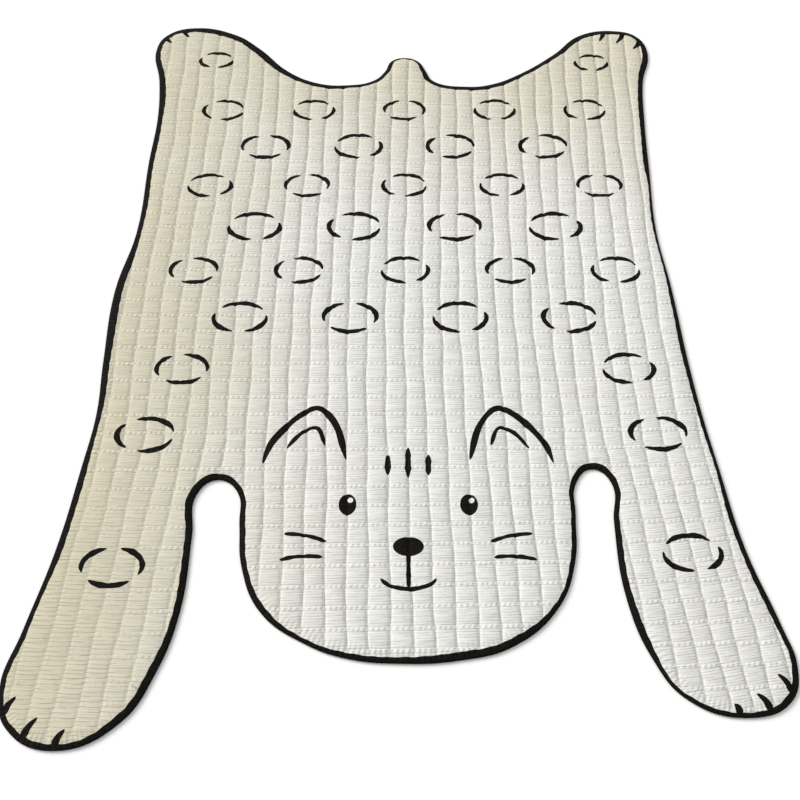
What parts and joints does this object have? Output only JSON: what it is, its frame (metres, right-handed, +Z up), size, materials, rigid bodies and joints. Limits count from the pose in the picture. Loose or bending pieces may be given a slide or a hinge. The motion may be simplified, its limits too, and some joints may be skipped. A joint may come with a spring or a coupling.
{
  "type": "animal shaped kids rug",
  "caption": "Flat channel-quilted play mat for a child's room, cut in the outline of a spread animal with four legs, a round head and a short tail.",
  "frame": {"origin": "on the floor, below the middle of the mat's bounding box", "axes": "+Z up, +Y from the head towards the tail, +X towards the mat's right side as seen from the head end"},
  "size_m": [1.058, 1.4034, 0.0078],
  "materials": {
    "quilted_cotton": "matt washed cotton, ivory, with black brushed print"
  },
  "bodies": {
    "root": {"quilted_mat": "quilted_cotton"}
  },
  "joints": []
}
